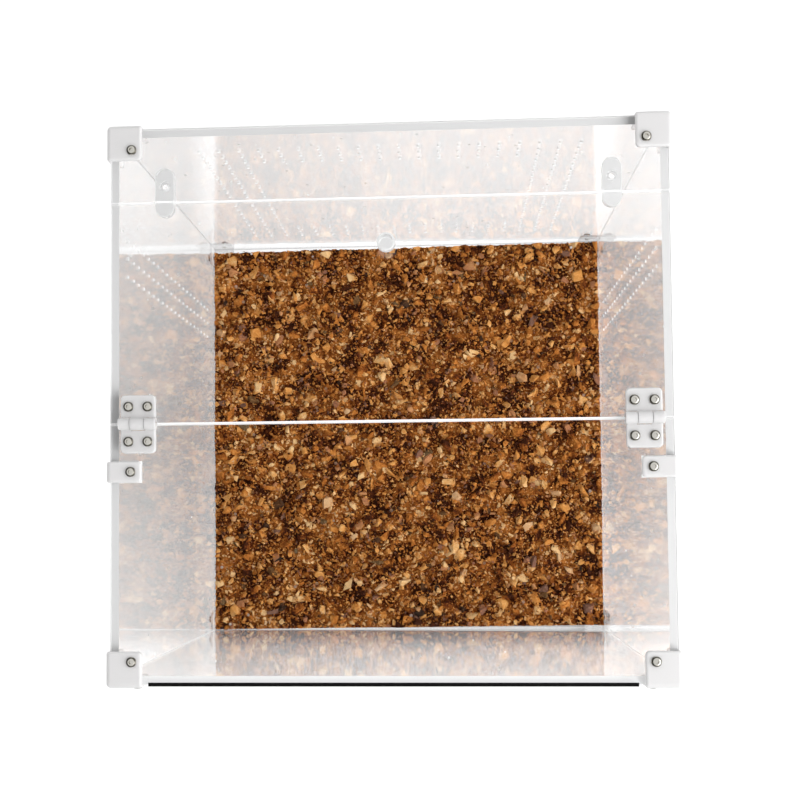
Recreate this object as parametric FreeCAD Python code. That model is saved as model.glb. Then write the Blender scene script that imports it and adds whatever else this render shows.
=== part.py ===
import os
import FreeCAD, Part
from FreeCAD import Vector
from math import cos, pi, sin
from random import Random

# Ant habitat: a clear acrylic case with a hinged door in its top, sheets held together
# by plastic corner brackets and clips, a black strip along the front edge of the top, and
# a bed of cork granulate on the floor.
# Millimetres. +Z is up, the front faces -Y, and the origin is under the middle of the feet.

# Case, measured over the outside of the sheets
case_width = 300.0
case_depth = 300.0
case_height = 300.0
panel_thickness = 4.0

# Top: a fixed strip at the rear, the door, and a fixed sheet at the front
rear_strip_depth = 40.5
door_rear_gap = 0.5
hinge_gap = 0.3
hinge_seam_chamfer = 0.6        # along both sheets' top edges at the hinges
rear_seam_chamfer = 0.25
hinge_axis_setback = 138.9      # from the front face of the case to the hinge axis

# Vent holes: a ring of holes in the back, three columns in each side
vent_diameter = 2.0
back_vent_count = 20            # holes along each side of the ring
back_vent_pitch = 11.35
back_vent_ring = 3              # rows and columns that make the ring
side_vent_rows = 20
side_vent_row_pitch = 12.4
side_vent_columns = 3
side_vent_column_pitch = 10.2
side_vent_setback = 66.2        # from the rear face of the case to the middle column

# Corner brackets and the two side clips
bracket_thickness = 2.0
bracket_reach = 17.4
bracket_screw_inset = 12.0
bracket_edge_round = 2.6
flange_corner_round = 2.4
flange_rim_round = 1.4          # around the outer faces of brackets and clips
clip_width = 11.5
clip_setback = 113.3            # from the front face of the case to the clip's middle
clip_screw_inset = 11.5

# Screws: button heads with a hex socket, and countersunk ones under the floor
screw_diameter = 3.0
screw_head_diameter = 5.5
screw_head_height = 1.65
screw_rim_height = 0.35         # straight side of the button head
screw_crown_diameter = 3.2      # flat around the socket
socket_width = 2.0
socket_depth = 1.1
screw_hole_play = 0.4           # on the diameter, in brackets, clips and hinge leaves
countersunk_recess = 0.1

# Hinges
hinge_inset = 15.6              # from the side of the case to the hinge's middle
leaf_width = 19.0
leaf_reach = 15.7
leaf_thickness = 2.0
leaf_rim_round = 0.8
leaf_screw_spacing = 10.4
leaf_screw_reach = 9.4
knuckle_diameter = 6.4
barrel_width = 20.2
door_knuckle_width = 7.5
hinge_pin_diameter = 2.0
pin_play = 0.05                 # on the radius, where the door's knuckle turns
knuckle_side_play = 0.25
knuckle_lift = 0.1              # from the sheets to the underside of the knuckles
leaf_to_knuckle_play = 0.4

# Swivel latches and their studs
latch_width = 10.4
latch_thickness = 4.0
latch_front_reach = 16.5
latch_rear_reach = 10.0
latch_inset = 30.6              # from the side of the case to the stud
latch_stud_setback = 7.6        # from the rear strip's front edge to the stud
latch_edge_round = 0.5
stud_diameter = 3.0
stud_head_diameter = 5.0
stud_head_height = 1.2
stud_play = 0.05                # on the radius
stud_head_play = 0.3            # around and under the head

# Door knob
knob_diameter = 10.0
knob_height = 10.0
knob_neck_diameter = 7.0
knob_waist_height = 4.5
knob_waist_bow = 0.4            # how far the waist is hollowed
knob_crown = 1.5                # radius around the top
knob_setback = 25.6             # from the door's free edge to the knob's axis

# Substrate: it lies a little askew between the front and rear sheets, in low lumps
substrate_depth = 14.0          # to the top of the lumps
substrate_play = 0.3            # to the side sheets
substrate_front_gaps = (0.3, 2.8)       # at the left and right ends
substrate_rear_gaps = (4.3, 1.8)
lump_spacing = 24.0
lump_height = 3.0
lump_seed = 5

# Black strip along the front edge of the top, between the two brackets
edge_strip_end_gap = 3.4        # to the brackets
edge_strip_thickness = 1.1      # in front of the case
edge_strip_drop = 5.0           # from the top of the case to the strip's lower edge
edge_strip_lap = 0.9            # over the top sheet
edge_strip_lap_thickness = 0.5
edge_strip_round = 0.3

# Derived places
half_width = case_width / 2
half_depth = case_depth / 2
floor_bottom = bracket_thickness
floor_top = floor_bottom + panel_thickness
top_face = floor_bottom + case_height
top_underside = top_face - panel_thickness
inner_half_width = half_width - panel_thickness
inner_half_depth = half_depth - panel_thickness
hinge_axis_y = hinge_axis_setback - half_depth
hinge_axis_z = top_face + knuckle_lift + knuckle_diameter / 2
door_hinge_edge = hinge_axis_y + hinge_gap / 2
front_sheet_edge = hinge_axis_y - hinge_gap / 2
rear_strip_edge = half_depth - rear_strip_depth
door_free_edge = rear_strip_edge - door_rear_gap
substrate_top = floor_top + substrate_depth
vent_centre_z = (substrate_top + top_underside) / 2
bracket_grip = bracket_thickness + panel_thickness
leaf_grip = leaf_thickness + panel_thickness
clip_y = clip_setback - half_depth
hinge_x = half_width - hinge_inset
latch_x = half_width - latch_inset
stud_y = rear_strip_edge + latch_stud_setback
SIDES = (("left", -1), ("right", 1))
ENDS = (("front", -1), ("rear", 1))
Z_AXIS = Vector(0, 0, 1)


def box(low, high):
    """Box between two corners."""
    size = [b - a for a, b in zip(low, high)]
    return Part.makeBox(*size, Vector(*low))


def cylinder(diameter, length, base, axis=Z_AXIS):
    return Part.makeCylinder(diameter / 2, length, base, axis)


def edges_at(shape, points):
    """Edges of the shape whose middle lies on one of the points."""
    found = []
    for edge in shape.Edges:
        middle = edge.valueAt((edge.FirstParameter + edge.LastParameter) / 2)
        if any(middle.distanceToPoint(Vector(*point)) < 0.01 for point in points):
            found.append(edge)
    return found


def placed(shape, origin, side_x=1, side_y=1, side_z=1):
    """Shape made in the +X +Y +Z octant, mirrored to the wanted sides and moved."""
    for sign, normal in zip((side_x, side_y, side_z), ((1, 0, 0), (0, 1, 0), (0, 0, 1))):
        if sign < 0:
            shape = shape.mirror(Vector(0, 0, 0), Vector(*normal))
    moved = shape.copy()
    moved.translate(Vector(*origin))
    return moved


def sheet_with_holes(sheet, holes):
    """Sheet less all the given hole cylinders, cut in one go."""
    return sheet.cut(Part.makeCompound(holes)).removeSplitter()


def turned(points, bows):
    """Solid turned about Z; bows gives how far the run after a point arcs outwards."""
    runs = []
    for index, start in enumerate(points):
        end = points[(index + 1) % len(points)]
        if index in bows:
            across = Vector(0, 1, 0).cross(end - start).normalize()
            middle = (start + end) / 2 + across * bows[index]
            runs.append(Part.Arc(start, middle, end).toShape())
        else:
            runs.append(Part.makeLine(start, end))
    return Part.Face(Part.Wire(runs)).revolve(Vector(0, 0, 0), Z_AXIS, 360)


def dome_bow(reach):
    """Bow that makes a run of equal reach and rise a quarter circle."""
    return reach * (1 - cos(pi / 4))


# Screws and the holes that they need

def hex_socket(depth):
    """Hex prism from Z = 0 down."""
    radius = socket_width / 2 / cos(pi / 6)
    corners = [Vector(radius * cos(k * pi / 3), radius * sin(k * pi / 3), 0) for k in range(7)]
    return Part.Face(Part.makePolygon(corners)).extrude(Vector(0, 0, -depth))


def turned_to(shape, point, direction):
    """Shape made along +Z, turned to the direction and moved to the point."""
    direction = Vector(*direction)
    placement = FreeCAD.Placement(Vector(*point), FreeCAD.Rotation(Z_AXIS, direction))
    moved = shape.copy()
    moved.Placement = placement.multiply(moved.Placement)
    return moved


def button_screw(point, outward, grip):
    """Button-head screw seated at the point; its shank runs inwards through the grip."""
    rise = screw_head_height
    rim = screw_head_diameter / 2
    crown = screw_crown_diameter / 2
    head = turned([
        Vector(0, 0, 0), Vector(rim, 0, 0), Vector(rim, 0, screw_rim_height),
        Vector(crown, 0, rise), Vector(0, 0, rise)], {2: dome_bow(rim - crown)})
    shank = cylinder(screw_diameter, grip, Vector(0, 0, -grip))
    socket = hex_socket(socket_depth)
    socket.translate(Vector(0, 0, rise))
    return turned_to(head.fuse(shank).cut(socket).removeSplitter(), point, outward)


def countersunk_cone(play=0.0):
    """Head of a countersunk screw from Z = 0 down, with its 90 degree cone."""
    rim = (screw_head_diameter + play) / 2
    waist = (screw_diameter + play) / 2
    return Part.makeCone(waist, rim, rim - waist, Vector(0, 0, waist - rim), Z_AXIS)


def countersunk_screw(point, outward, grip):
    """Countersunk screw just below the surface at the point."""
    shank = cylinder(screw_diameter, grip, Vector(0, 0, -grip))
    screw = countersunk_cone().fuse(shank).cut(hex_socket(socket_depth)).removeSplitter()
    screw.translate(Vector(0, 0, -countersunk_recess))
    tail = box((-screw_diameter, -screw_diameter, -grip - screw_diameter),
               (screw_diameter, screw_diameter, -grip))
    return turned_to(screw.cut(tail), point, outward)


def tapped_hole(point, outward, depth):
    """Hole of the screw's own size in the sheet under a flange."""
    return turned_to(cylinder(screw_diameter, depth, Vector(0, 0, -depth)), point, outward)


def clearance_hole(point, outward, depth):
    size = screw_diameter + screw_hole_play
    return turned_to(cylinder(size, depth, Vector(0, 0, -depth)), point, outward)


def corner_screw_points(side_x, side_y, side_z):
    """Outer face points of a corner bracket's three screws, each with its direction."""
    outer = (half_width, half_depth, top_face if side_z > 0 else floor_bottom)
    near_z = outer[2] - side_z * bracket_screw_inset
    skin = bracket_thickness
    near_x = side_x * (half_width - bracket_screw_inset)
    near_y = side_y * (half_depth - bracket_screw_inset)
    return {
        "flat": ((near_x, near_y, outer[2] + side_z * skin), (0, 0, side_z)),
        "side": ((side_x * (outer[0] + skin), near_y, near_z), (side_x, 0, 0)),
        "end": ((near_x, side_y * (outer[1] + skin), near_z), (0, side_y, 0)),
    }


def clip_screw_points(side_x):
    """Outer face points of a side clip's two screws, each with its direction."""
    skin = bracket_thickness
    return {
        "flat": ((side_x * (half_width - clip_screw_inset), clip_y, top_face + skin), (0, 0, 1)),
        "side": ((side_x * (half_width + skin), clip_y, top_face - clip_screw_inset),
                 (side_x, 0, 0)),
    }


def leaf_screw_points(side_x, side_y):
    """Outer face points of one hinge leaf's two screws."""
    return [((side_x * hinge_x + half * leaf_screw_spacing / 2,
              hinge_axis_y + side_y * leaf_screw_reach, top_face + leaf_thickness), (0, 0, 1))
            for half in (-1, 1)]


def tapped_for(face):
    """Tapped holes of every corner bracket and clip screw that enters the named face."""
    holes = []
    for _, side_x in SIDES:
        for _, side_y in ENDS:
            for side_z in (-1, 1):
                points = corner_screw_points(side_x, side_y, side_z)
                owner = {"flat": "top" if side_z > 0 else "floor",
                         "side": ("side", side_x), "end": ("end", side_y)}
                holes += [tapped_hole(*points[kind], bracket_grip)
                          for kind in points if owner[kind] == face]
        points = clip_screw_points(side_x)
        owner = {"flat": "top", "side": ("side", side_x)}
        holes += [tapped_hole(*points[kind], bracket_grip)
                  for kind in points if owner[kind] == face]
    return holes


# Sheets

def floor_panel():
    sheet = box((-half_width, -half_depth, floor_bottom), (half_width, half_depth, floor_top))
    return sheet_with_holes(sheet, tapped_for("floor"))


def back_vents():
    """Ring of holes through the back, centred on the space above the substrate."""
    last = back_vent_count - 1
    inner = range(back_vent_ring, back_vent_count - back_vent_ring)
    holes = []
    for column in range(back_vent_count):
        for row in range(back_vent_count):
            if column in inner and row in inner:
                continue
            x = (column - last / 2) * back_vent_pitch
            z = vent_centre_z + (row - last / 2) * back_vent_pitch
            base = Vector(x, inner_half_depth, z)
            holes.append(cylinder(vent_diameter, panel_thickness, base, Vector(0, 1, 0)))
    return holes


def side_vents(side_x):
    """Columns of holes through one side, towards the rear."""
    start_x = min(side_x * inner_half_width, side_x * half_width)
    middle_y = half_depth - side_vent_setback
    holes = []
    for column in range(side_vent_columns):
        for row in range(side_vent_rows):
            y = middle_y + (column - (side_vent_columns - 1) / 2) * side_vent_column_pitch
            z = vent_centre_z + (row - (side_vent_rows - 1) / 2) * side_vent_row_pitch
            base = Vector(start_x, y, z)
            holes.append(cylinder(vent_diameter, panel_thickness, base, Vector(1, 0, 0)))
    return holes


def end_panel(side_y, vents):
    """Front or back sheet, as wide as the case."""
    near, far = sorted((side_y * inner_half_depth, side_y * half_depth))
    sheet = box((-half_width, near, floor_top), (half_width, far, top_underside))
    return sheet_with_holes(sheet, tapped_for(("end", side_y)) + vents)


def side_panel(side_x):
    """Side sheet, between the front and the back."""
    near, far = sorted((side_x * inner_half_width, side_x * half_width))
    sheet = box((near, -inner_half_depth, floor_top), (far, inner_half_depth, top_underside))
    return sheet_with_holes(sheet, tapped_for(("side", side_x)) + side_vents(side_x))


def chamfered_seam(sheet, edge_y, chamfer):
    """Sheet with the top edge along X at edge_y broken."""
    return sheet.makeChamfer(chamfer, edges_at(sheet, [(0, edge_y, top_face)]))


def top_rear_strip():
    sheet = box((-half_width, rear_strip_edge, top_underside), (half_width, half_depth, top_face))
    sheet = chamfered_seam(sheet, rear_strip_edge, rear_seam_chamfer)
    studs = [cylinder(stud_diameter, panel_thickness, Vector(side * latch_x, stud_y, top_underside))
             for _, side in SIDES]
    return sheet_with_holes(sheet, tapped_for("top") + studs)


def top_front_panel():
    sheet = box((-half_width, -half_depth, top_underside),
                (half_width, front_sheet_edge, top_face))
    sheet = chamfered_seam(sheet, front_sheet_edge, hinge_seam_chamfer)
    leaf_holes = [tapped_hole(*point, leaf_grip)
                  for _, side in SIDES for point in leaf_screw_points(side, -1)]
    return sheet_with_holes(sheet, tapped_for("top") + leaf_holes)


def door_panel():
    sheet = box((-half_width, door_hinge_edge, top_underside),
                (half_width, door_free_edge, top_face))
    sheet = chamfered_seam(sheet, door_hinge_edge, hinge_seam_chamfer)
    sheet = chamfered_seam(sheet, door_free_edge, rear_seam_chamfer)
    leaf_holes = [tapped_hole(*point, leaf_grip)
                  for _, side in SIDES for point in leaf_screw_points(side, 1)]
    return sheet_with_holes(sheet, leaf_holes)


# Brackets and clips

def rounded_flange_corners(shape, points):
    return shape.makeFillet(flange_corner_round, edges_at(shape, points))


def rounded_rim(shape, radius, on_rim):
    """Shape with the edges rounded whose middle passes the test."""
    rim = []
    for edge in shape.Edges:
        middle = edge.valueAt((edge.FirstParameter + edge.LastParameter) / 2)
        if on_rim(middle):
            rim.append(edge)
    return shape.makeFillet(radius, rim)


def corner_bracket(side_x, side_y, side_z):
    """Three flanges over a corner of the case, with a screw hole in each."""
    skin = bracket_thickness
    reach = bracket_reach
    middle = (skin - reach) / 2
    outer = box((-reach,) * 3, (skin,) * 3)
    outer = outer.makeFillet(bracket_edge_round, edges_at(
        outer, [(middle, skin, skin), (skin, middle, skin), (skin, skin, middle)]))
    shell = outer.cut(box((-reach,) * 3, (0, 0, 0)))
    shell = rounded_flange_corners(shell, [
        (-reach, -reach, skin / 2), (-reach, skin / 2, -reach), (skin / 2, -reach, -reach)])
    shell = rounded_rim(shell, flange_rim_round, lambda middle: (
        max(middle) > skin / 2 + 0.01 and min(middle) < flange_corner_round / 2 - reach))
    bracket = placed(shell, (side_x * half_width, side_y * half_depth,
                             top_face if side_z > 0 else floor_bottom), side_x, side_y, side_z)
    points = corner_screw_points(side_x, side_y, side_z)
    holes = [clearance_hole(*points[kind], skin) for kind in points]
    if side_z < 0:
        holes.append(turned_to(countersunk_cone(screw_hole_play), *points["flat"]))
    return bracket.cut(Part.makeCompound(holes))


def side_clip(side_x):
    """L-shaped clip that holds a rear corner of the front top sheet to the side."""
    skin = bracket_thickness
    reach = bracket_reach
    half = clip_width / 2
    outer = box((-reach, -half, -reach), (skin, half, skin))
    outer = outer.makeFillet(bracket_edge_round, edges_at(outer, [(skin, 0, skin)]))
    shell = outer.cut(box((-reach, -half, -reach), (0, half, 0)))
    shell = rounded_flange_corners(shell, [
        (x, y, z) for y in (-half, half) for x, z in ((-reach, skin / 2), (skin / 2, -reach))])
    near_tip = flange_corner_round / 2 - reach
    shell = rounded_rim(shell, flange_rim_round, lambda middle: (
        max(middle.x, middle.z) > skin / 2 + 0.01
        and (abs(middle.y) > half - 0.01 or min(middle.x, middle.z) < near_tip)))
    clip = placed(shell, (side_x * half_width, clip_y, top_face), side_x)
    holes = [clearance_hole(*point, skin) for point in clip_screw_points(side_x).values()]
    return clip.cut(Part.makeCompound(holes))


# Hinges

def hinge_leaf(side_x, side_y, knuckles, reliefs, bore):
    """Leaf towards side_y: its own knuckles, and its plate cut back from the other leaf's."""
    tip = hinge_axis_y + side_y * leaf_reach
    top = top_face + leaf_thickness
    near, far = sorted((hinge_axis_y, tip))
    half = leaf_width / 2
    leaf = box((-half, near, top_face), (half, far, top))
    middle_z = (top_face + top) / 2
    leaf = rounded_flange_corners(leaf, [(-half, tip, middle_z), (half, tip, middle_z)])
    past_corner = flange_corner_round / 2
    leaf = rounded_rim(leaf, leaf_rim_round, lambda middle: (
        middle.z > top - 0.01
        and (abs(middle.x) > half - past_corner or abs(middle.y - tip) < past_corner)))
    clear = knuckle_diameter / 2 + leaf_to_knuckle_play
    near, far = sorted((hinge_axis_y, hinge_axis_y + side_y * clear))
    for start, end in reliefs:
        leaf = leaf.cut(box((start, near, top_face), (end, far, top)))
    for start, end in knuckles:
        base = Vector(start, hinge_axis_y, hinge_axis_z)
        leaf = leaf.fuse(cylinder(knuckle_diameter, end - start, base, Vector(1, 0, 0)))
    base = Vector(-barrel_width / 2, hinge_axis_y, hinge_axis_z)
    leaf = leaf.cut(cylinder(bore, barrel_width, base, Vector(1, 0, 0))).removeSplitter()
    leaf.translate(Vector(side_x * hinge_x, 0, 0))
    holes = [clearance_hole(*point, leaf_thickness)
             for point in leaf_screw_points(side_x, side_y)]
    return leaf.cut(Part.makeCompound(holes))


def barrel_layout():
    """Ranges along the barrel: the door's knuckle, the fixed knuckles and their reliefs."""
    inner = door_knuckle_width / 2
    outer = barrel_width / 2
    split = inner + knuckle_side_play
    door_knuckle = [(-inner, inner)]
    fixed_knuckles = [(-outer, -split), (split, outer)]
    door_relief = [(-outer, -inner), (inner, outer)]
    fixed_relief = [(-split, split)]
    return door_knuckle, fixed_knuckles, door_relief, fixed_relief


def fixed_leaf(side_x):
    _, knuckles, _, relief = barrel_layout()
    return hinge_leaf(side_x, -1, knuckles, relief, hinge_pin_diameter)


def door_leaf(side_x):
    knuckle, _, relief, _ = barrel_layout()
    return hinge_leaf(side_x, 1, knuckle, relief, hinge_pin_diameter + 2 * pin_play)


def hinge_pin(side_x):
    base = Vector(side_x * hinge_x - barrel_width / 2, hinge_axis_y, hinge_axis_z)
    return cylinder(hinge_pin_diameter, barrel_width, base, Vector(1, 0, 0))


# Latches and knob

def latch(side_x):
    """Pill-shaped turn latch, bored off centre and sunk for the stud's head."""
    radius = latch_width / 2
    front = Vector(0, radius - latch_front_reach, 0)
    rear = Vector(0, latch_rear_reach - radius, 0)
    wide = Vector(radius, 0, 0)
    wire = Part.Wire([
        Part.makeLine(front + wide, rear + wide),
        Part.Arc(rear + wide, rear + Vector(0, radius, 0), rear - wide).toShape(),
        Part.makeLine(rear - wide, front - wide),
        Part.Arc(front - wide, front - Vector(0, radius, 0), front + wide).toShape()])
    pill = Part.Face(wire).extrude(Vector(0, 0, latch_thickness))
    rim = [edge for edge in pill.Edges if edge.BoundBox.ZMin > latch_thickness - 0.01]
    pill = pill.makeFillet(latch_edge_round, rim)
    bore = cylinder(stud_diameter + 2 * stud_play, latch_thickness, Vector(0, 0, 0))
    sink_depth = stud_head_height + stud_head_play
    sink = cylinder(stud_head_diameter + 2 * stud_head_play, sink_depth,
                    Vector(0, 0, latch_thickness - sink_depth))
    pill = pill.cut(bore).cut(sink)
    pill.translate(Vector(side_x * latch_x, stud_y, top_face))
    return pill


def latch_stud(side_x):
    """Headed stud bonded into the rear strip; the latch turns on its shank."""
    shank_length = panel_thickness + latch_thickness - stud_head_height
    base = Vector(side_x * latch_x, stud_y, top_underside)
    head_base = base + Vector(0, 0, shank_length)
    shank = cylinder(stud_diameter, shank_length, base)
    head = cylinder(stud_head_diameter, stud_head_height, head_base)
    return shank.fuse(head).removeSplitter()


def door_knob():
    """Turned knob bonded to the door near its free edge."""
    rim = knob_diameter / 2
    knob = turned([
        Vector(0, 0, 0), Vector(knob_neck_diameter / 2, 0, 0), Vector(rim, 0, knob_waist_height),
        Vector(rim, 0, knob_height - knob_crown), Vector(rim - knob_crown, 0, knob_height),
        Vector(0, 0, knob_height)], {1: -knob_waist_bow, 3: dome_bow(knob_crown)})
    knob.translate(Vector(0, door_free_edge - knob_setback, top_face))
    return knob


def between(ends, share):
    """Value a share of the way from the first end to the second."""
    return ends[0] + (ends[1] - ends[0]) * share


def bed_surface():
    """Rows of points over the bed from front to rear, at heights that chance gives them."""
    chance = Random(lump_seed)
    wide = inner_half_width - substrate_play
    columns = round(case_width / lump_spacing)
    rows = round(case_depth / lump_spacing)
    surface = [[] for _ in range(rows + 1)]
    for column in range(columns + 1):
        across = column / columns
        front = between(substrate_front_gaps, across) - inner_half_depth
        rear = inner_half_depth - between(substrate_rear_gaps, across)
        for row in range(rows + 1):
            surface[row].append(Vector(
                between((-wide, wide), across), between((front, rear), row / rows),
                substrate_top - lump_height * chance.random()))
    return surface


def polygon(points):
    return Part.Face(Part.makePolygon([*points, points[0]]))


def substrate_bed():
    """Outer shape of the cork granulate: a lumpy top over upright sides."""
    surface = bed_surface()
    faces = []
    for front, rear in zip(surface, surface[1:]):
        for a, b, c, d in zip(front, front[1:], rear[1:], rear):
            faces += [polygon([a, b, c]), polygon([a, c, d])]
    sides = [surface[0], surface[-1],
             [row[0] for row in surface], [row[-1] for row in surface]]
    for rim in sides:
        faces.append(polygon(rim + [Vector(end.x, end.y, floor_top) for end in (rim[-1], rim[0])]))
    corners = [surface[0][0], surface[0][-1], surface[-1][-1], surface[-1][0]]
    faces.append(polygon([Vector(corner.x, corner.y, floor_top) for corner in corners]))
    return Part.Solid(Part.Shell(faces))


def front_edge_strip():
    """Black strip bonded over the joint at the front, with a lap on top of the sheet."""
    half = half_width - bracket_reach - edge_strip_end_gap
    upper = top_face + edge_strip_lap_thickness
    lower = top_face - edge_strip_drop
    outer = -half_depth - edge_strip_thickness
    strip = box((-half, outer, lower), (half, -half_depth, upper))
    lap = box((-half, -half_depth, top_face), (half, edge_strip_lap - half_depth, upper))
    strip = strip.fuse(lap).removeSplitter()
    return strip.makeFillet(edge_strip_round, edges_at(
        strip, [(0, outer, upper), (0, outer, lower)]))


# Assembly

def screw_groups():
    """Groups of identical screws, one node each."""
    corner, floor, clip, fixed, door = [], [], [], [], []
    for _, side_x in SIDES:
        for _, side_y in ENDS:
            for side_z in (-1, 1):
                points = corner_screw_points(side_x, side_y, side_z)
                if side_z < 0:
                    floor.append(countersunk_screw(*points.pop("flat"), bracket_grip))
                corner += [button_screw(*point, bracket_grip) for point in points.values()]
        clip += [button_screw(*point, bracket_grip) for point in clip_screw_points(side_x).values()]
        fixed += [button_screw(*point, leaf_grip) for point in leaf_screw_points(side_x, -1)]
        door += [button_screw(*point, leaf_grip) for point in leaf_screw_points(side_x, 1)]
    return {"corner_screws": corner, "floor_screws": floor, "clip_screws": clip,
            "hinge_screws_fixed": fixed, "hinge_screws_door": door}


def all_nodes():
    nodes = {
        "floor_panel": floor_panel(),
        "back_panel": end_panel(1, back_vents()),
        "front_panel": end_panel(-1, []),
        "top_rear_strip": top_rear_strip(),
        "top_front_panel": top_front_panel(),
        "door_panel": door_panel(),
        "door_knob": door_knob(),
        "substrate_bed": substrate_bed(),
        "front_edge_strip": front_edge_strip(),
    }
    for side_name, side_x in SIDES:
        nodes[f"{side_name}_side_panel"] = side_panel(side_x)
        nodes[f"side_clip_{side_name}"] = side_clip(side_x)
        nodes[f"hinge_fixed_leaf_{side_name}"] = fixed_leaf(side_x)
        nodes[f"hinge_door_leaf_{side_name}"] = door_leaf(side_x)
        nodes[f"hinge_pin_{side_name}"] = hinge_pin(side_x)
        nodes[f"latch_{side_name}"] = latch(side_x)
        nodes[f"latch_stud_{side_name}"] = latch_stud(side_x)
        for end_name, side_y in ENDS:
            for level, side_z in (("bottom", -1), ("top", 1)):
                name = f"{level}_bracket_{end_name}_{side_name}"
                nodes[name] = corner_bracket(side_x, side_y, side_z)
    for name, screws in screw_groups().items():
        nodes[name] = Part.makeCompound(screws)
    return nodes


os.makedirs("parts", exist_ok=True)
for name, shape in all_nodes().items():
    shape.exportStep(f"parts/{name}.step")
    print(f"{name}: {len(shape.Solids)} solid(s), {shape.Volume:.1f} mm3, valid {shape.isValid()}")
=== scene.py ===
import math
import random

import bmesh
import bpy
from mathutils import Matrix, Vector, noise
from mathutils.bvhtree import BVHTree


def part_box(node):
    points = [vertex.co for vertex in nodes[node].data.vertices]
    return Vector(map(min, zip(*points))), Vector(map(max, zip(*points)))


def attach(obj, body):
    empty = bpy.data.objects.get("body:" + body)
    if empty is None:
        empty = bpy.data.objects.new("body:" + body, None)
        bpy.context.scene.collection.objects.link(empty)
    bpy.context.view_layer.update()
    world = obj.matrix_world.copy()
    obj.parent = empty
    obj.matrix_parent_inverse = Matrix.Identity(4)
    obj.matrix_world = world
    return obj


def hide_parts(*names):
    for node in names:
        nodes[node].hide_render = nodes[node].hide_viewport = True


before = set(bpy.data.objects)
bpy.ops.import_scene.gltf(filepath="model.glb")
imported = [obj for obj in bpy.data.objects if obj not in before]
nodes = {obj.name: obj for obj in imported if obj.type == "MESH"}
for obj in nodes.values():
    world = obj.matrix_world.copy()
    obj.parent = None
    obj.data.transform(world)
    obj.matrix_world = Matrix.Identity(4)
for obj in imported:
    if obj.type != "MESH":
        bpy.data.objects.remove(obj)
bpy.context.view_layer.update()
MM = 0.001

# The sheets of the case: 4 mm cast acrylic, sawn to size, drilled and bonded edge to face.
# The faces are clear and polished, with a few specks of dust. Sawn and drilled edges are
# matt white with a faint painted glow. Bonded joints, and the places that a bracket or clip
# presses on, are milky, with a painted glow of their own.

CLEAR_TINT = "fefefe"
SAWN_WHITE = "fafafa"
BONDED_WHITE = "ededed"
ACRYLIC_IOR = 1.49
EDGE_PAINTED_GLOW = 0.15       # painted glow: emission of a sawn edge, for light its sheet passes on
JOINT_PAINTED_GLOW = 0.05      # painted glow of a bonded joint
FRONT_JOINT_PAINTED_GLOW = 0.18        # painted glow of the front joint, lifting the shade behind the black strip
PRESSED_PAINTED_GLOW = 0.6     # painted glow where white nylon lies against the sheet
SAWN_LETS_THROUGH = 0.2         # share of light that passes a sawn edge
BOND_LETS_THROUGH = 0.15        # and a bonded or pressed place
MATT_ROUGHNESS = 0.45
MARK_SPACING = 0.6      # mm between the marks of a matt face, drawn coarse enough to show
MARK_DEPTH = 0.05       # mm
POLISHED = 0.98         # share of a polished face's normal that lies along the thin axis
DUST_SPACING = 14.0     # mm between specks
DUST_SIZE = 0.06        # share of the spacing that a speck covers
DUST_BLUR = 0.3
WALL_BLUR = {"X": 0.04, "Y": 0.05, "Z": 0.0}    # upright sheets are wavy, so they mirror softly
BRACKET_CORNER = 2.4 * MM       # radius of the corner of a bracket's flange
HAIR = 0.1 * MM         # less than any thickness here, to tell one face from the next
SHEETS_BY_THIN_AXIS = {
    "X": ["left_side_panel", "right_side_panel"],
    "Y": ["front_panel", "back_panel"],
    "Z": ["floor_panel", "top_rear_strip", "top_front_panel", "door_panel"],
}
case_low, case_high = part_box("floor_panel")[0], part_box("top_rear_strip")[1]
case_middle = (case_low + case_high) / 2
outer_face = case_high.x
inner_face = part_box("right_side_panel")[0].x
bracket_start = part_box("top_bracket_rear_right")[0].x
clip_low, clip_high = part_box("side_clip_right")


def linear(hex_colour):
    """sRGB hex to linear RGBA."""
    channels = [int(hex_colour[i:i + 2], 16) / 255 for i in (0, 2, 4)]
    curve = [c / 12.92 if c <= 0.04045 else ((c + 0.055) / 1.055) ** 2.4 for c in channels]
    return (*curve, 1.0)


def add(tree, kind, links=None, **settings):
    """New node; settings name its properties, links its sockets with a value or a socket."""
    node = tree.nodes.new(kind)
    for name, value in settings.items():
        setattr(node, name, value)
    for name, value in (links or {}).items():
        socket = node.inputs[name]
        if isinstance(value, bpy.types.NodeSocket):
            tree.links.new(value, socket)
        else:
            socket.default_value = value
    return node


def new_material(name):
    material = bpy.data.materials.new(name)
    material.use_nodes = True
    material.node_tree.nodes.clear()
    return material, material.node_tree


def place_in(tree):
    return add(tree, "ShaderNodeTexCoord").outputs["Object"]


def in_millimetres(tree, spacing):
    """Object coordinates scaled so that one unit is the spacing, in millimetres."""
    scale = 1.0 / (spacing * MM)
    return add(tree, "ShaderNodeMapping", {
        "Vector": place_in(tree), "Scale": (scale,) * 3}).outputs[0]


def cut_faces(tree, thin_axis):
    """1 on the sawn and drilled faces of a sheet, 0 on its two polished ones."""
    normal = add(tree, "ShaderNodeTexCoord").outputs["Normal"]
    along = add(tree, "ShaderNodeSeparateXYZ", {0: normal}).outputs[thin_axis]
    facing = add(tree, "ShaderNodeMath", {0: along}, operation="ABSOLUTE")
    return add(tree, "ShaderNodeMath", {0: facing.outputs[0], 1: POLISHED},
               operation="LESS_THAN").outputs[0]


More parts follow.
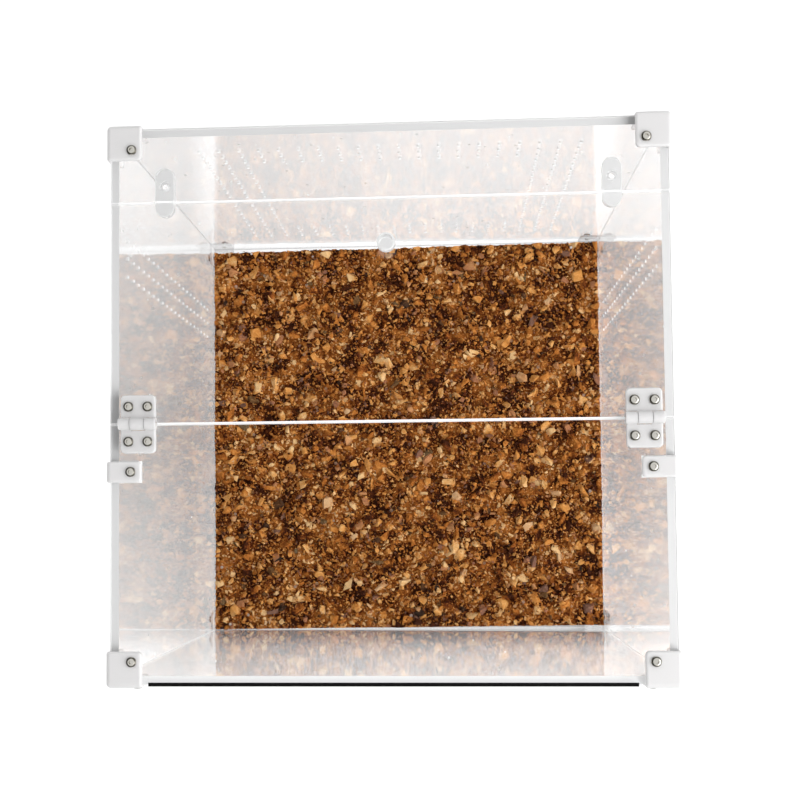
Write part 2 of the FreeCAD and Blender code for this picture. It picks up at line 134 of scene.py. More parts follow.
def touched_faces(tree, thin_axis):
    """1 on a sheet's bonded rim, and outside where a bracket or clip presses on it. Also the
    strength of a painted glow there: emission that stands in for light from the sheet at a
    joint, and from the white nylon behind it where pressed."""
    place = place_in(tree)
    away = add(tree, "ShaderNodeVectorMath", {0: place, 1: case_middle}, operation="SUBTRACT")
    size = add(tree, "ShaderNodeVectorMath", {0: away.outputs[0]}, operation="ABSOLUTE")
    reach = add(tree, "ShaderNodeSeparateXYZ", {0: size.outputs[0]}).outputs
    across = {i: reach[axis] for i, axis in enumerate(a for a in "XYZ" if a != thin_axis)}
    far = add(tree, "ShaderNodeMath", across, operation="MAXIMUM").outputs[0]
    near = add(tree, "ShaderNodeMath", across, operation="MINIMUM").outputs[0]
    rim = add(tree, "ShaderNodeMath", {0: far, 1: inner_face - HAIR}, operation="GREATER_THAN")
    inward = add(tree, "ShaderNodeMath", {0: near, 1: bracket_start}, operation="GREATER_THAN")
    both = add(tree, "ShaderNodeMath", {0: near, 1: far})
    rounded = add(tree, "ShaderNodeMath", {
        0: both.outputs[0], 1: 2 * bracket_start + BRACKET_CORNER}, operation="GREATER_THAN")
    corner = add(tree, "ShaderNodeMath", {0: inward.outputs[0], 1: rounded.outputs[0]},
                 operation="MULTIPLY")
    spot = add(tree, "ShaderNodeSeparateXYZ", {0: place}).outputs
    depth = spot["Y"]
    clip_deep = add(tree, "ShaderNodeMath", {
        0: depth, 1: (clip_low.y + clip_high.y) / 2, 2: (clip_high.y - clip_low.y) / 2},
        operation="COMPARE")
    clip_wide = add(tree, "ShaderNodeMath", {0: reach["X"], 1: clip_low.x},
                    operation="GREATER_THAN")
    clip_high_up = add(tree, "ShaderNodeMath", {0: spot["Z"], 1: clip_low.z},
                       operation="GREATER_THAN")
    clip_seen = add(tree, "ShaderNodeMath", {0: clip_deep.outputs[0], 1: clip_wide.outputs[0]},
                    operation="MULTIPLY")
    clip = add(tree, "ShaderNodeMath", {0: clip_seen.outputs[0], 1: clip_high_up.outputs[0]},
               operation="MULTIPLY")
    pressed = add(tree, "ShaderNodeMath", {0: corner.outputs[0], 1: clip.outputs[0]},
                  operation="MAXIMUM")
    outside = add(tree, "ShaderNodeMath", {0: reach[thin_axis], 1: outer_face - HAIR},
                  operation="GREATER_THAN")
    touched = add(tree, "ShaderNodeMix", {
        0: outside.outputs[0], 2: rim.outputs[0], 3: pressed.outputs[0]})
    at_front = add(tree, "ShaderNodeMath", {0: depth, 1: HAIR - inner_face},
                   operation="LESS_THAN")
    # painted glow: weak at the bonded rim, stronger at the front joint and where nylon presses
    lit = add(tree, "ShaderNodeMix", {
        0: at_front.outputs[0], 2: JOINT_PAINTED_GLOW, 3: FRONT_JOINT_PAINTED_GLOW})
    touched_painted_glow = add(tree, "ShaderNodeMix", {
        0: outside.outputs[0], 2: lit.outputs[0], 3: PRESSED_PAINTED_GLOW})
    return touched.outputs[0], touched_painted_glow.outputs[0]


def matt(tree, white, let_through, painted_glow_strength):
    """Acrylic with countless fine marks that scatter light and let a share of it through.
    The matt face also carries a painted glow: emission in its own colour that stands in for
    light its sheet gathers."""
    marks = add(tree, "ShaderNodeTexNoise", {
        "Vector": in_millimetres(tree, MARK_SPACING), "Scale": 1.0, "Detail": 2.0})
    bump = add(tree, "ShaderNodeBump", {
        "Height": marks.outputs["Fac"], "Strength": 0.2, "Distance": MARK_DEPTH * MM})
    skin = add(tree, "ShaderNodeBsdfPrincipled", {
        "Base Color": linear(white), "Roughness": MATT_ROUGHNESS, "IOR": ACRYLIC_IOR,
        "Emission Color": linear(white), "Emission Strength": painted_glow_strength,
        "Normal": bump.outputs[0]})
    passed_on = add(tree, "ShaderNodeBsdfTranslucent", {"Color": linear(white)})
    return add(tree, "ShaderNodeMixShader", {
        0: let_through, 1: skin.outputs[0], 2: passed_on.outputs[0]}).outputs[0]


def lamps_pass(tree, shader):
    """Clear plastic throws next to no shadow: shadow rays pass straight through it."""
    shadow = add(tree, "ShaderNodeLightPath").outputs["Is Shadow Ray"]
    clear = add(tree, "ShaderNodeBsdfTransparent")
    mix = add(tree, "ShaderNodeMixShader", {0: shadow, 1: shader, 2: clear.outputs[0]})
    add(tree, "ShaderNodeOutputMaterial", {"Surface": mix.outputs[0]})


def cast_acrylic(thin_axis):
    material, tree = new_material(f"cast_acrylic_{thin_axis.lower()}")
    cells = add(tree, "ShaderNodeTexVoronoi", {
        "Vector": in_millimetres(tree, DUST_SPACING), "Scale": 1.0, "Randomness": 1.0})
    speck = add(tree, "ShaderNodeMath", {0: cells.outputs["Distance"], 1: DUST_SIZE},
                operation="LESS_THAN")
    gloss = add(tree, "ShaderNodeMapRange", {
        "Value": speck.outputs[0], "To Min": WALL_BLUR[thin_axis], "To Max": DUST_BLUR})
    clear = add(tree, "ShaderNodeBsdfPrincipled", {
        "Base Color": linear(CLEAR_TINT), "Transmission Weight": 1.0,
        "IOR": ACRYLIC_IOR, "Roughness": gloss.outputs[0]})
    sawn = add(tree, "ShaderNodeMixShader", {
        0: cut_faces(tree, thin_axis), 1: clear.outputs[0],
        2: matt(tree, SAWN_WHITE, SAWN_LETS_THROUGH, EDGE_PAINTED_GLOW)})
    touched, touched_painted_glow = touched_faces(tree, thin_axis)
    finish = add(tree, "ShaderNodeMixShader", {
        0: touched, 1: sawn.outputs[0],
        2: matt(tree, BONDED_WHITE, BOND_LETS_THROUGH, touched_painted_glow)})
    lamps_pass(tree, finish.outputs[0])
    return material


def dress(names, material):
    for name in names:
        mesh = nodes[name].data
        mesh.materials.clear()
        mesh.materials.append(material)


for thin_axis, sheets in SHEETS_BY_THIN_AXIS.items():
    dress(sheets, cast_acrylic(thin_axis))

# The knob, the turn latches and their studs: turned or cut from clear acrylic and buffed.
# The undersides stay as they were faced off, so each piece has a faint milky foot under a
# clear body, and the buffing leaves its sides hazy. Foot and sides carry the sawn edges'
# painted glow.

FOOT_HAZE = 0.42
SIDE_HAZE = 0.4
FOOT_LETS_THROUGH = 0.45
BUFFING_SPACING = 1.5   # mm between smoother and hazier places
BUFFED_GLOSS = (0.02, 0.12)
SMALL_CLEAR_PARTS = [
    "door_knob", "latch_left", "latch_right", "latch_stud_left", "latch_stud_right"]


def buffed_acrylic():
    material, tree = new_material("buffed_acrylic")
    haze = add(tree, "ShaderNodeTexNoise", {
        "Vector": in_millimetres(tree, BUFFING_SPACING), "Scale": 1.0, "Detail": 2.0})
    gloss = add(tree, "ShaderNodeMapRange", {
        "Value": haze.outputs["Fac"], "To Min": BUFFED_GLOSS[0], "To Max": BUFFED_GLOSS[1]})
    body = add(tree, "ShaderNodeBsdfPrincipled", {
        "Base Color": linear(CLEAR_TINT), "Transmission Weight": 1.0,
        "IOR": ACRYLIC_IOR, "Roughness": gloss.outputs[0]})
    height = add(tree, "ShaderNodeSeparateXYZ", {0: place_in(tree)}).outputs["Z"]
    foot = add(tree, "ShaderNodeMath", {0: height, 1: case_high.z + HAIR},
               operation="LESS_THAN")
    side = add(tree, "ShaderNodeMath", {0: cut_faces(tree, "Z"), 1: SIDE_HAZE},
               operation="MULTIPLY")
    milky = add(tree, "ShaderNodeMix", {0: foot.outputs[0], 2: side.outputs[0], 3: FOOT_HAZE})
    finish = add(tree, "ShaderNodeMixShader", {
        0: milky.outputs[0], 1: body.outputs[0],
        # the matt foot and sides glow with the sawn edges' painted glow
        2: matt(tree, SAWN_WHITE, FOOT_LETS_THROUGH, EDGE_PAINTED_GLOW)})
    lamps_pass(tree, finish.outputs[0])
    return material


dress(SMALL_CLEAR_PARTS, buffed_acrylic())

# Corner brackets, side clips and hinge leaves: injection-moulded white nylon, a little
# translucent, with a satin skin. Light soaks in and softens every edge.

NYLON_WHITE = "dfdede"
NYLON_IOR = 1.53
NYLON_SATIN = 0.38      # roughness
NYLON_GRAIN = 0.8       # mm
NYLON_SOAK = 3.0        # mm that light soaks in
SIDES = ("left", "right")
BRACKETS = [f"{level}_bracket_{end}_{side}" for level in ("top", "bottom")
            for end in ("front", "rear") for side in SIDES]
CLIPS = [f"side_clip_{side}" for side in SIDES]
HINGE_LEAVES = [f"hinge_{leaf}_leaf_{side}" for leaf in ("fixed", "door") for side in SIDES]


def moulded_nylon():
    material, tree = new_material("moulded_nylon")
    grain = add(tree, "ShaderNodeTexNoise", {
        "Vector": in_millimetres(tree, NYLON_GRAIN), "Scale": 1.0, "Detail": 3.0})
    bump = add(tree, "ShaderNodeBump", {
        "Height": grain.outputs["Fac"], "Strength": 0.15, "Distance": 0.05 * MM})
    shader = add(tree, "ShaderNodeBsdfPrincipled", {
        "Base Color": linear(NYLON_WHITE), "Roughness": NYLON_SATIN, "IOR": NYLON_IOR,
        "Subsurface Weight": 0.7, "Subsurface Radius": (1.0, 1.0, 1.0),
        "Subsurface Scale": NYLON_SOAK * MM, "Normal": bump.outputs[0]})
    add(tree, "ShaderNodeOutputMaterial", {"Surface": shader.outputs[0]})
    return material


dress(BRACKETS + CLIPS + HINGE_LEAVES, moulded_nylon())

# The strip along the front edge of the top: black, bonded on. Its skin is dull, with a fine
# grain that breaks up the light.

# Whatever it is made of, the strip is drawn plain black, dull and grained.
STRIP_BLACK = "0e0e0e"


def black_strip_finish():
    material, tree = new_material("black_strip_finish")
    grain = add(tree, "ShaderNodeTexNoise", {
        "Vector": in_millimetres(tree, 0.7), "Scale": 1.0, "Detail": 3.0})
    bump = add(tree, "ShaderNodeBump", {
        "Height": grain.outputs["Fac"], "Strength": 0.3, "Distance": 0.1 * MM})
    shader = add(tree, "ShaderNodeBsdfPrincipled", {
        "Base Color": linear(STRIP_BLACK), "Roughness": 0.8, "Specular IOR Level": 0.1,
        "Normal": bump.outputs[0]})
    add(tree, "ShaderNodeOutputMaterial", {"Surface": shader.outputs[0]})
    return material


dress(["front_edge_strip"], black_strip_finish())

# Screws and hinge pins: stainless steel, with cold formed button heads. Faces that lie along
# an axis, such as the crown and the floor of the socket, keep the bright colour; the sloping
# rim and the socket's walls are painted darker, a painted dark reflection of the room.

STEEL = "dbd8d0"
PAINTED_DARK_RIM_STEEL = "5c5950"
STEEL_PARTS = [
    "corner_screws", "floor_screws", "clip_screws", "hinge_screws_fixed",
    "hinge_screws_door", "hinge_pin_left", "hinge_pin_right"]


def stainless_steel():
    material, tree = new_material("stainless_steel")
    lay = add(tree, "ShaderNodeTexNoise", {
        "Vector": in_millimetres(tree, 0.5), "Scale": 1.0, "Detail": 2.0})
    gloss = add(tree, "ShaderNodeMapRange", {
        "Value": lay.outputs["Fac"], "To Min": 0.10, "To Max": 0.20})
    normal = add(tree, "ShaderNodeTexCoord").outputs["Normal"]
    facing = add(tree, "ShaderNodeVectorMath", {0: normal}, operation="ABSOLUTE")
    parts = add(tree, "ShaderNodeSeparateXYZ", {0: facing.outputs[0]}).outputs
    larger = add(tree, "ShaderNodeMath", {0: parts["X"], 1: parts["Y"]}, operation="MAXIMUM")
    straight = add(tree, "ShaderNodeMath", {0: larger.outputs[0], 1: parts["Z"]},
                   operation="MAXIMUM")
    # painted reflection: faces tilted away from the axes are coloured darker
    crown = add(tree, "ShaderNodeMapRange", {
        "Value": straight.outputs[0], "From Min": 0.82, "From Max": 0.97})
    colour = add(tree, "ShaderNodeMix", {
        0: crown.outputs[0], 6: linear(PAINTED_DARK_RIM_STEEL), 7: linear(STEEL)}, data_type="RGBA")
    shader = add(tree, "ShaderNodeBsdfPrincipled", {
        "Base Color": colour.outputs[2], "Metallic": 1.0, "Roughness": gloss.outputs[0]})
    add(tree, "ShaderNodeOutputMaterial", {"Surface": shader.outputs[0]})
    return material


dress(STEEL_PARTS, stainless_steel())

# The substrate: cork bark, crumbled and sieved, spread over the floor. Chips run from
# crumbs to pieces the size of a fingernail, with broken faces: tan or pinkish inside, brown
# to near black on the bark side. Fines fill the bed under them, coloured dark as painted
# shade in the gaps between chips.

CHIP_SEED = 7
PATCH = 240             # chips joined at a time
BROKEN = 0.35           # how rough the faces of the larger chips are
CRUMB_TONES = (0.1, 0.85)       # crumbs are more alike in colour than chips
PATCH_SIZE = 16.0       # mm across a lighter or darker patch of the bed
FINES_DROP = 3.8        # mm from the bed's surface to the fines under the chips
REAR_WAVE = 1.5         # mm that the rear edge wanders
GRADES = {
    # name: (count, smallest and largest width in mm, depth of the middle in mm, rough)
    "coarse": (950, 6.0, 14.0, 1.4, 3.2, True),
    "medium": (2900, 3.4, 7.0, 1.0, 3.2, True),
    "fine": (3600, 2.4, 4.4, 0.8, 3.6, False),
}
SIDE_CHIPS = 1800       # seen through the walls
CRUMB_LAYERS = 3
CRUMBS_IN_TILE = 430
CRUMB_WIDTHS = (1.8, 3.6)       # mm
CRUMB_DEPTHS = (0.8, 4.2)       # mm under the bed's surface
# the fines are drawn dark: painted shade in the gaps between chips
FINES_PAINTED_SHADE_TONES = (0.05, 0.22)
LUMPS_ACROSS = 60       # lumps of fines across the bed
LUMP_HEIGHT = 0.8       # mm
TILES = 5               # along each side of the bed
bed_low, bed_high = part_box("substrate_bed")
bed_shape = bmesh.new()
bed_shape.from_mesh(nodes["substrate_bed"].data)
bed_surface = BVHTree.FromBMesh(bed_shape)
draw = random.Random(CHIP_SEED)


def chip_shape(rough):
    """An angular chip about 1 across: the hull of a few scattered points, faces broken up."""
    bm = bmesh.new()
    for _ in range(10 if rough else 8):
        away = Vector([draw.gauss(0, 1) for _ in range(3)]).normalized()
        bm.verts.new(away * draw.uniform(0.36, 0.54))
    bmesh.ops.convex_hull(bm, input=bm.verts)
    loose = [vert for vert in bm.verts if not vert.link_faces]
    bmesh.ops.delete(bm, geom=loose, context="VERTS")
    if rough:
        bmesh.ops.subdivide_edges(bm, edges=bm.edges, cuts=1, use_grid_fill=True,
                                  fractal=BROKEN, seed=draw.randrange(1000))
        bmesh.ops.triangulate(bm, faces=bm.faces)
    bmesh.ops.recalc_face_normals(bm, faces=bm.faces)
    shape = bpy.data.meshes.new("chip")
    bm.to_mesh(shape)
    bm.free()
    return shape


CHIP_SHAPES = {rough: [chip_shape(rough) for _ in range(24)] for rough in (True, False)}


def chip_turn(flat):
    """A flat chip lies nearly level; a crumb lies any way up."""
    tilt = 0.55 if flat else math.pi
    level = Matrix.Rotation(draw.uniform(0, 2 * math.pi), 4, "Z")
    lean = Matrix.Rotation(draw.uniform(-tilt, tilt), 4, "X")
    roll = Matrix.Rotation(draw.uniform(-tilt, tilt), 4, "Y")
    return level @ lean @ roll


def add_chip(bm, layers, place, width, rough):
    before = len(bm.verts), len(bm.faces)
    bm.from_mesh(draw.choice(CHIP_SHAPES[rough]))
    bm.verts.ensure_lookup_table()
    bm.faces.ensure_lookup_table()
    sizes = Matrix.Diagonal((1.0, draw.uniform(0.6, 1.0), draw.uniform(0.4, 0.75), 1.0))
    turn = Matrix.Translation(place) @ chip_turn(rough) @ Matrix.Scale(width, 4) @ sizes
    bmesh.ops.transform(bm, matrix=turn, verts=bm.verts[before[0]:])
    looks = draw.random() if rough else draw.uniform(*CRUMB_TONES), draw.random()
    for face in bm.faces[before[1]:]:
        for layer, look in zip(layers, looks):
            face[layer] = look


def look_layers(bm):
    """A chip's tone, from dark to light, and its kind of cork."""
    return [bm.faces.layers.float.new(name) for name in ("tone", "kind")]


def spread(count):
    """Evenly scattered places over the bed, as shares of its width and depth."""
    side = math.ceil(math.sqrt(count))
    cells = [(i, j) for i in range(side) for j in range(side)]
    draw.shuffle(cells)
    return [((i + draw.random()) / side, (j + draw.random()) / side) for i, j in cells[:count]]


def chip_width(small, large):
    """More small chips than large ones."""
    return (small + (large - small) * draw.random() ** 1.5) * MM


def top_places(count, small, large, shallow, deep):
    """Places all over the bed, at depths under its surface."""
    size = bed_high - bed_low
    for share_x, share_y in spread(count):
        place = Vector((bed_low.x + share_x * size.x, bed_low.y + share_y * size.y,
                        -draw.uniform(shallow, deep) * MM))
        yield place, chip_width(small, large)


def side_places(count, small, large):
    """Places just inside the four sides of the bed, at any depth."""
    for _ in range(count):
        width = chip_width(small, large)
        inset = width * 0.25
        along = draw.uniform(-1, 1)
        depth = draw.uniform(bed_low.z - bed_high.z + inset, -2 * inset)
        wide, deep = bed_high.x, bed_high.y
        yield draw.choice([
            Vector((along * wide, deep - inset, depth)),
            Vector((along * wide, inset - deep, depth)),
            Vector((wide - inset, along * deep, depth)),
            Vector((inset - wide, along * deep, depth))]), width


def piled(places, rough):
    """Mesh with a chip at each place, made in patches and joined."""
    whole = bmesh.new()
    for start in range(0, len(places), PATCH):
        patch = bmesh.new()
        layers = look_layers(patch)
        for place, width in places[start:start + PATCH]:
            add_chip(patch, layers, place, width, rough)
        part = bpy.data.meshes.new("patch")
        patch.to_mesh(part)
        patch.free()
        whole.from_mesh(part)
        bpy.data.meshes.remove(part)
    mesh = bpy.data.meshes.new("chips")
    whole.to_mesh(mesh)
    whole.free()
    return mesh


def crumb_layer():
    """Mesh of crumbs over the whole bed: a square of them, laid out again and again, turned."""
    tile_size = (bed_high - bed_low) / TILES
    places = [(Vector((draw.uniform(-0.5, 0.5) * tile_size.x,
                       draw.uniform(-0.5, 0.5) * tile_size.y,
                       -draw.uniform(*CRUMB_DEPTHS) * MM)), chip_width(*CRUMB_WIDTHS))
              for _ in range(CRUMBS_IN_TILE)]
    tile = piled(places, False)
    whole = bmesh.new()
    for i in range(TILES):
        for j in range(TILES):
            before = len(whole.verts)
            whole.from_mesh(tile)
            whole.verts.ensure_lookup_table()
            middle = Vector((bed_low.x + (i + 0.5) * tile_size.x,
                             bed_low.y + (j + 0.5) * tile_size.y, 0))
            turn = Matrix.Rotation(draw.randrange(4) * math.pi / 2, 4, "Z")
            bmesh.ops.transform(whole, matrix=Matrix.Translation(middle) @ turn,
                                verts=whole.verts[before:])
    mesh = bpy.data.meshes.new("crumbs")
    whole.to_mesh(mesh)
    whole.free()
    return mesh


def bed_corner(side_x, side_y):
    return max((vert.co for vert in bed_shape.verts), key=lambda co: side_x * co.x + side_y * co.y)


def edge_at(left, right, x):
    """Y of the straight edge between two corners of the bed."""
    return left.y + (right.y - left.y) * (x - left.x) / (right.x - left.x)


def settled(mesh):
    """Mesh made over a level surface at 0, let down onto the bed and kept inside its edges."""
    front = bed_corner(-1, -1), bed_corner(1, -1)
    rear = bed_corner(-1, 1), bed_corner(1, 1)
    down = Vector((0, 0, -1))
    for vert in mesh.vertices:
        x, y, depth = vert.co
        x = min(max(x, bed_low.x + HAIR), bed_high.x - HAIR)
        wave = abs(noise.noise(Vector((x * 90, 0, 0)))) * REAR_WAVE * MM
        y = min(max(y, edge_at(*front, x) + HAIR), edge_at(*rear, x) - HAIR - wave)
        level = bed_surface.ray_cast(Vector((x, y, 1)), down)[0].z
        vert.co = (x, y, max(level + depth, bed_low.z))
    return mesh


def crumbled_cork():
    """Dry and open-pored: no shine, speckled tan, with pits that a fingertip can feel."""
    material, tree = new_material("crumbled_cork")
    tone = add(tree, "ShaderNodeAttribute", attribute_name="tone")
    kind = add(tree, "ShaderNodeAttribute", attribute_name="kind")
    mottle = add(tree, "ShaderNodeTexNoise", {
        "Vector": in_millimetres(tree, 1.5), "Scale": 1.0, "Detail": 4.0, "Roughness": 0.7})
    patches = add(tree, "ShaderNodeTexNoise", {
        "Vector": in_millimetres(tree, PATCH_SIZE), "Scale": 1.0, "Detail": 2.0})
    within = add(tree, "ShaderNodeMath", {
        0: mottle.outputs["Fac"], 1: 0.9, 2: tone.outputs["Fac"]}, operation="MULTIPLY_ADD")
    both = add(tree, "ShaderNodeMath", {0: patches.outputs["Fac"], 1: 1.6, 2: within.outputs[0]},
               operation="MULTIPLY_ADD")
    level = add(tree, "ShaderNodeMath", {0: both.outputs[0], 1: 1.26}, operation="SUBTRACT",
                use_clamp=True)
    plain = colour_ramp(tree, level.outputs[0], [
        (0.0, "3b1803"), (0.08, "5e2a08"), (0.2, "8e4e19"), (0.45, "c07834"),
        (0.7, "d6964f"), (0.88, "e0ab6c"), (1.0, "e8bf88")])
    kinds = colour_ramp(tree, kind.outputs["Fac"], [
        (0.0, "2c2720"), (0.04, "94602f"), (0.88, "a8806c")], "CONSTANT")
    for element, strength in zip(kinds.color_ramp.elements, (0.8, 0.0, 0.4)):
        element.alpha = strength
    colour = add(tree, "ShaderNodeMix", {
        0: kinds.outputs["Alpha"], 6: plain.outputs["Color"], 7: kinds.outputs["Color"]},
        data_type="RGBA")
    pits = add(tree, "ShaderNodeTexNoise", {
        "Vector": in_millimetres(tree, 0.8), "Scale": 1.0, "Detail": 3.0})
    bump = add(tree, "ShaderNodeBump", {
        "Height": pits.outputs["Fac"], "Strength": 0.8, "Distance": 0.6 * MM})
    shader = add(tree, "ShaderNodeBsdfPrincipled", {
        "Base Color": colour.outputs[2], "Roughness": 0.9, "Specular IOR Level": 0.2,
        "Normal": bump.outputs[0]})
    add(tree, "ShaderNodeOutputMaterial", {"Surface": shader.outputs[0]})
    return material


def colour_ramp(tree, factor, stops, blend="LINEAR"):
    ramp = add(tree, "ShaderNodeValToRGB", {"Fac": factor})
    ramp.color_ramp.interpolation = blend
    for position, _ in stops[1:-1]:
        ramp.color_ramp.elements.new(position)
    for element, (position, colour) in zip(ramp.color_ramp.elements, stops):
        element.position = position
        element.color = linear(colour)
    return ramp


def bed_piece(name, mesh, material):
    piece = bpy.data.objects.new(name, mesh)
    bpy.context.scene.collection.objects.link(piece)
    mesh.materials.append(material)
    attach(piece, "enclosure")
    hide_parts("substrate_bed")
    return piece


def bed_of_fines():
    """The dust that the chips lie in: a block with a lumpy top."""
    bm = bmesh.new()
    size = bed_high - bed_low
    made = bmesh.ops.create_grid(bm, x_segments=90, y_segments=90, size=0.5)["verts"]
    for vert in made:
        place = Vector((vert.co.x, vert.co.y, 0))
        lump = noise.noise(place * LUMPS_ACROSS) * LUMP_HEIGHT * MM
        vert.co = Vector((bed_low.x + (vert.co.x + 0.5) * size.x,
                          bed_low.y + (vert.co.y + 0.5) * size.y, lump - FINES_DROP * MM))
    rim = [edge for edge in bm.edges if edge.is_boundary]
    walls = bmesh.ops.extrude_edge_only(bm, edges=rim)["geom"]
    for item in walls:
        if isinstance(item, bmesh.types.BMVert):
            item.co.z = bed_low.z - bed_high.z
    bmesh.ops.contextual_create(bm, geom=[edge for edge in bm.edges if edge.is_boundary])
    bmesh.ops.recalc_face_normals(bm, faces=bm.faces)
    tone_layer, kind_layer = look_layers(bm)
    for face in bm.faces:
        # dark tones: painted shade under the chips
        face[tone_layer] = draw.uniform(*FINES_PAINTED_SHADE_TONES)
        face[kind_layer] = 0.5
    mesh = bpy.data.meshes.new("fines")
    bm.to_mesh(mesh)
    bm.free()
    return mesh


cork = crumbled_cork()
for grade, (count, small, large, shallow, deep, rough) in GRADES.items():
    places = list(top_places(count, small, large, shallow, deep))
    bed_piece(f"cork_{grade}", settled(piled(places, rough)), cork)
for layer in range(CRUMB_LAYERS):
    bed_piece(f"cork_crumbs_{layer + 1}", settled(crumb_layer()), cork)
side_chips = list(side_places(SIDE_CHIPS, 2.5, 7.0))
bed_piece("cork_sides", settled(piled(side_chips, False)), cork)
bed_piece("cork_fines", settled(bed_of_fines()), cork)

# The floor and the light: a white studio sweep with soft light from all round and a dark
# ceiling, so that clear plastic mirrors white from the side and nothing from above.

FLOOR_SIZE = 6.0
FLOOR_FILL = 0.25               # what the eye adds to white paper to see it as white
PAPER_WHITE = "efefef"
# Paper seen through clear plastic is drawn darker: painted shade.
PAPER_PAINTED_SHADE_BEHIND_PLASTIC = "b6b6b6"
# How much glow is painted on the paper behind clear plastic: place in m, and strength there.
# The painted glow is bright in front of the case, dim beside its middle and fair behind it,
# and brighter to the right. That at a wall's foot gains a little.
GLOW_ALONG_LEFT = [(-0.20, 1.6), (-0.15, 0.8), (0.0, 0.4), (0.2, 0.7)]
GLOW_ALONG_RIGHT = [(-0.20, 1.6), (-0.15, 1.3), (0.0, 0.65), (0.2, 0.85)]
GLOW_ALONG_MIDDLE = [(-0.17, 2.0), (-0.15, 0.1), (0.15, 1.1), (0.25, 0.9)]
GLOW_ACROSS = [(-0.15, 0.8), (0.0, 1.05)]
GLOW_AT_FOOT = [(0.15, 0.35), (0.17, 0.0)]


def glow(tree, across, steps):
    """Strength that runs through the given steps along one direction."""
    near, far = steps[0][0], steps[-1][0]
    share = add(tree, "ShaderNodeMapRange", {"Value": across, "From Min": near, "From Max": far})
    ramp = add(tree, "ShaderNodeValToRGB", {"Fac": share.outputs[0]})
    for _ in steps[1:-1]:
        ramp.color_ramp.elements.new(0.5)
    for element, (place, strength) in zip(ramp.color_ramp.elements, steps):
        element.position = (place - near) / (far - near)
        element.color = (strength, strength, strength, 1.0)
    return ramp.outputs["Color"]


def painted_glow_behind_plastic(tree):
    place = add(tree, "ShaderNodeSeparateXYZ", {0: place_in(tree)}).outputs
    middle = add(tree, "ShaderNodeMath", {
        0: glow(tree, place["Y"], GLOW_ALONG_MIDDLE), 1: glow(tree, place["X"], GLOW_ACROSS)},
        operation="MULTIPLY")
    outward = add(tree, "ShaderNodeMath", {0: place["X"]}, operation="ABSOLUTE").outputs[0]
    on_right = add(tree, "ShaderNodeMath", {0: place["X"], 1: 0.0}, operation="GREATER_THAN")
    side = add(tree, "ShaderNodeMix", {
        0: on_right.outputs[0], 2: glow(tree, place["Y"], GLOW_ALONG_LEFT),
        3: glow(tree, place["Y"], GLOW_ALONG_RIGHT)})
    by_foot = add(tree, "ShaderNodeMath", {
        0: side.outputs[0], 1: glow(tree, outward, GLOW_AT_FOOT)})
    beside = add(tree, "ShaderNodeMath", {0: outward, 1: inner_face}, operation="GREATER_THAN")
    return add(tree, "ShaderNodeMix", {
        0: beside.outputs[0], 2: middle.outputs[0], 3: by_foot.outputs[0]}).outputs[0]


def studio_floor():
    material, tree = new_material("studio_floor")
    path = add(tree, "ShaderNodeLightPath")
    behind = path.outputs["Is Transmission Ray"]
    shade = add(tree, "ShaderNodeMix", {
        0: behind, 6: linear(PAPER_WHITE), 7: linear(PAPER_PAINTED_SHADE_BEHIND_PLASTIC)}, data_type="RGBA")
    paper = add(tree, "ShaderNodeBsdfDiffuse", {"Color": shade.outputs[2]})
    # painted glow: emission on the paper where it is seen through clear plastic
    through = add(tree, "ShaderNodeMath", {0: painted_glow_behind_plastic(tree), 1: behind},
                  operation="MULTIPLY")
    seen = add(tree, "ShaderNodeMath", {
        0: path.outputs["Is Camera Ray"], 1: path.outputs["Is Glossy Ray"]},
        operation="MAXIMUM")
    direct = add(tree, "ShaderNodeMath", {0: seen.outputs[0], 1: FLOOR_FILL},
                 operation="MULTIPLY")
    fill = add(tree, "ShaderNodeMath", {0: through.outputs[0], 1: direct.outputs[0]},
               operation="MAXIMUM")
    white = add(tree, "ShaderNodeEmission", {
        "Color": linear("ffffff"), "Strength": fill.outputs[0]})
    both = add(tree, "ShaderNodeAddShader", {0: paper.outputs[0], 1: white.outputs[0]})
    add(tree, "ShaderNodeOutputMaterial", {"Surface": both.outputs[0]})
    bm = bmesh.new()
    bmesh.ops.create_grid(bm, x_segments=1, y_segments=1, size=FLOOR_SIZE / 2)
    mesh = bpy.data.meshes.new("studio_floor")
    bm.to_mesh(mesh)
    bm.free()
    mesh.materials.append(material)
    floor = bpy.data.objects.new("studio_floor", mesh)
    bpy.context.scene.collection.objects.link(floor)


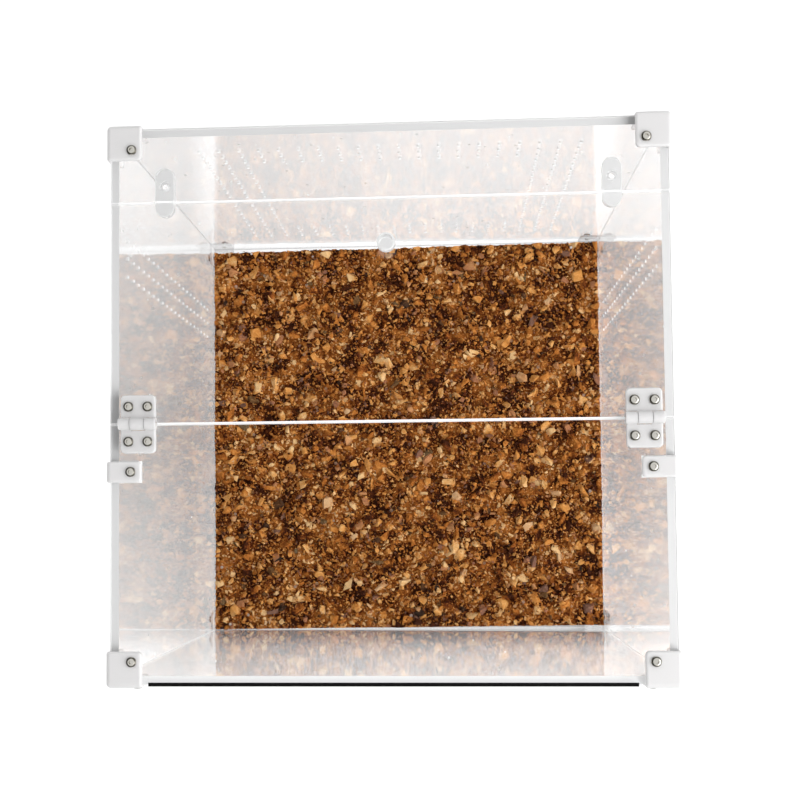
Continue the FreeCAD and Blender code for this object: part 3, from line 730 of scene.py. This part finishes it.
def studio_walls():
    """World: white to the eye, light from all round, with a dark wall to the left."""
    world = bpy.data.worlds.new("studio_walls")
    bpy.context.scene.world = world
    world.use_nodes = True
    tree = world.node_tree
    tree.nodes.clear()
    towards = add(tree, "ShaderNodeTexCoord").outputs["Generated"]
    split = add(tree, "ShaderNodeSeparateXYZ", {0: towards}).outputs
    in_clear = add(tree, "ShaderNodeMapRange", {
        "Value": split["Z"], "From Min": 0.5, "From Max": 0.75, "To Min": 1.0, "To Max": 0.0},
        interpolation_type="SMOOTHSTEP")
    to_right = add(tree, "ShaderNodeMapRange", {
        "Value": split["X"], "From Min": -0.7, "From Max": 0.3, "To Min": 0.1, "To Max": 1.0},
        interpolation_type="SMOOTHSTEP")
    overhead = add(tree, "ShaderNodeMapRange", {
        "Value": split["Z"], "From Min": 0.8, "From Max": 0.95}, interpolation_type="SMOOTHSTEP")
    in_metal = add(tree, "ShaderNodeMix", {0: overhead.outputs[0], 2: to_right.outputs[0], 3: 0.8})
    lighting = add(tree, "ShaderNodeMapRange", {
        "Value": split["Z"], "From Min": 0.5, "From Max": 0.9, "To Min": 0.85, "To Max": 0.62},
        interpolation_type="SMOOTHSTEP")
    path = add(tree, "ShaderNodeLightPath")
    bounced = add(tree, "ShaderNodeMix", {
        0: path.outputs["Is Glossy Ray"], 2: lighting.outputs[0], 3: in_metal.outputs[0]})
    not_lit = add(tree, "ShaderNodeMath", {0: path.outputs["Diffuse Depth"], 1: 0.5},
                  operation="LESS_THAN")
    mirror = add(tree, "ShaderNodeMath", {
        0: path.outputs["Is Singular Ray"], 1: not_lit.outputs[0]}, operation="MULTIPLY")
    indirect = add(tree, "ShaderNodeMix", {
        0: mirror.outputs[0], 2: bounced.outputs[0], 3: in_clear.outputs[0]})
    strength = add(tree, "ShaderNodeMath", {
        0: path.outputs["Is Camera Ray"], 1: indirect.outputs[0]}, operation="MAXIMUM")
    sky = add(tree, "ShaderNodeBackground", {
        "Color": linear("ffffff"), "Strength": strength.outputs[0]})
    add(tree, "ShaderNodeOutputWorld", {"Surface": sky.outputs[0]})


def soft_lamp(name, place, size, watts):
    light = bpy.data.lights.new(name, "AREA")
    light.shape = "SQUARE"
    light.size = size
    light.energy = watts
    lamp = bpy.data.objects.new(name, light)
    lamp.location = place
    lamp.rotation_euler = (-Vector(place)).to_track_quat("-Z", "Y").to_euler()
    bpy.context.scene.collection.objects.link(lamp)


studio_floor()
studio_walls()
soft_lamp("key_lamp", place=(1.0, -0.4, 0.9), size=1.2, watts=12)

# The camera looks almost straight down, from a little in front of the middle.

CAMERA_PLACE = (31.3, -62.5, 976.0)     # mm
CAMERA_TURN = (2.78, 3.74, -0.48)       # degrees about X, Y and Z
CAMERA_LENS = 57.25                     # mm
CAMERA_SHIFT = (0.0436, 0.0696)
camera_data = bpy.data.cameras.new("camera")
camera_data.lens = CAMERA_LENS
camera_data.shift_x, camera_data.shift_y = CAMERA_SHIFT
camera = bpy.data.objects.new("camera", camera_data)
camera.location = Vector(CAMERA_PLACE) * MM
camera.rotation_euler = [math.radians(angle) for angle in CAMERA_TURN]
bpy.context.scene.collection.objects.link(camera)
bpy.context.scene.camera = camera
bpy.context.scene.view_settings.view_transform = "Standard"
